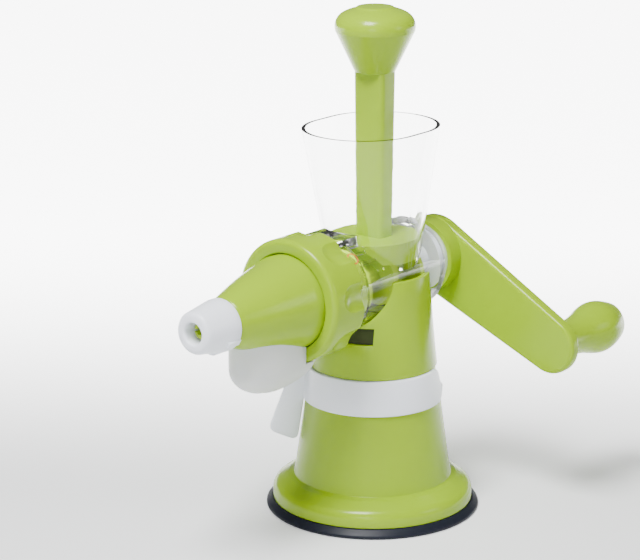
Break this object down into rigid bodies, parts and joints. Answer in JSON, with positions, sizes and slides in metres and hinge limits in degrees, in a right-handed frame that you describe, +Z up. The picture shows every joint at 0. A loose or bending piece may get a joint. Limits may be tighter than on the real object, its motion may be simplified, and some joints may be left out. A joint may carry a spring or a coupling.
{
  "type": "hand-cranked auger juicer",
  "caption": "Hand-cranked single-auger juicer on a suction stand, with a clear drum and hopper, a cone with a pulp nozzle, a juice spout, a food pusher and a crank.",
  "frame": {"origin": "centre of the suction foot on the counter", "axes": "+Z up along the stand, +X along the auger axis from the nozzle to the crank"},
  "size_m": [0.284, 0.1677, 0.3028],
  "materials": {
    "green_plastic": "moulded, satin gloss",
    "clear_plastic": "clear moulded plastic",
    "white_plastic": "moulded, satin",
    "milky_plastic": "translucent, satin",
    "black_rubber": "soft, matte",
    "dark_plastic": "textured",
    "steel": "turned"
  },
  "bodies": {
    "root": {"suction_cup": "black_rubber", "stand_body": "green_plastic", "base_plate": "white_plastic", "base_plate_screws": "steel", "drum_hopper": "clear_plastic", "rear_bushing": "white_plastic", "rear_seal": "milky_plastic", "front_gasket": "milky_plastic", "front_housing": "green_plastic", "juice_screen": "steel", "juice_spout": "milky_plastic"},
    "collar": {"suction_collar": "white_plastic", "lift_cam": "white_plastic"},
    "stud": {"suction_stud": "steel", "stud_cross_pin": "steel"},
    "ring": {"locking_ring": "green_plastic"},
    "sleeve": {"pressure_sleeve": "white_plastic"},
    "cap": {"nozzle_cap": "white_plastic"},
    "latch": {"release_latch": "dark_plastic", "latch_spring": "steel"},
    "crank": {"auger": "green_plastic", "drive_shaft": "steel", "crank_arm": "green_plastic", "crank_washer": "steel", "crank_screw": "steel", "grip_spindle": "steel"},
    "grip": {"grip": "green_plastic", "grip_end_cap": "green_plastic"},
    "pusher": {"pusher_stem": "green_plastic", "pusher_cap": "green_plastic"}
  },
  "joints": [
    {"name": "crank_turn", "type": "hinge", "parent": "root", "child": "crank", "pos_m": [0, 0, 0.144], "axis": [1, 0, 0], "continuous": true},
    {"name": "grip_spin", "type": "hinge", "parent": "crank", "child": "grip", "pos_m": [0.09, -0.0865, 0.10144], "axis": [1, 0, 0], "continuous": true},
    {"name": "pusher_slide", "type": "slide", "parent": "root", "child": "pusher", "axis": [0, 0, 1], "range_m": [0, 0.085]},
    {"name": "collar_turn", "type": "hinge", "parent": "root", "child": "collar", "pos_m": [0, 0, 0.078], "axis": [0, 0, 1], "range_deg": [0, 70]},
    {"name": "stud_lift", "type": "slide", "parent": "root", "child": "stud", "axis": [0, 0, 1], "range_m": [-0.0025, 0], "deforming": ["suction_cup"]},
    {"name": "ring_turn", "type": "hinge", "parent": "root", "child": "ring", "pos_m": [-0.067, 0, 0.144], "axis": [1, 0, 0], "range_deg": [0, 60]},
    {"name": "sleeve_slide", "type": "slide", "parent": "root", "child": "sleeve", "axis": [-1, 0, 0], "range_m": [0, 0.002]},
    {"name": "cap_turn", "type": "hinge", "parent": "sleeve", "child": "cap", "pos_m": [-0.148, 0, 0.144], "axis": [1, 0, 0], "range_deg": [0, 180]},
    {"name": "latch_press", "type": "slide", "parent": "root", "child": "latch", "axis": [1, 0, 0], "range_m": [0, 0.003], "stiffness_N_per_m": 300}
  ],
  "couplings": [
    {"joint": "stud_lift", "follows": "collar_turn", "m_per_rad": -0.0020463},
    {"joint": "sleeve_slide", "follows": "cap_turn", "m_per_rad": 0.00063662}
  ]
}
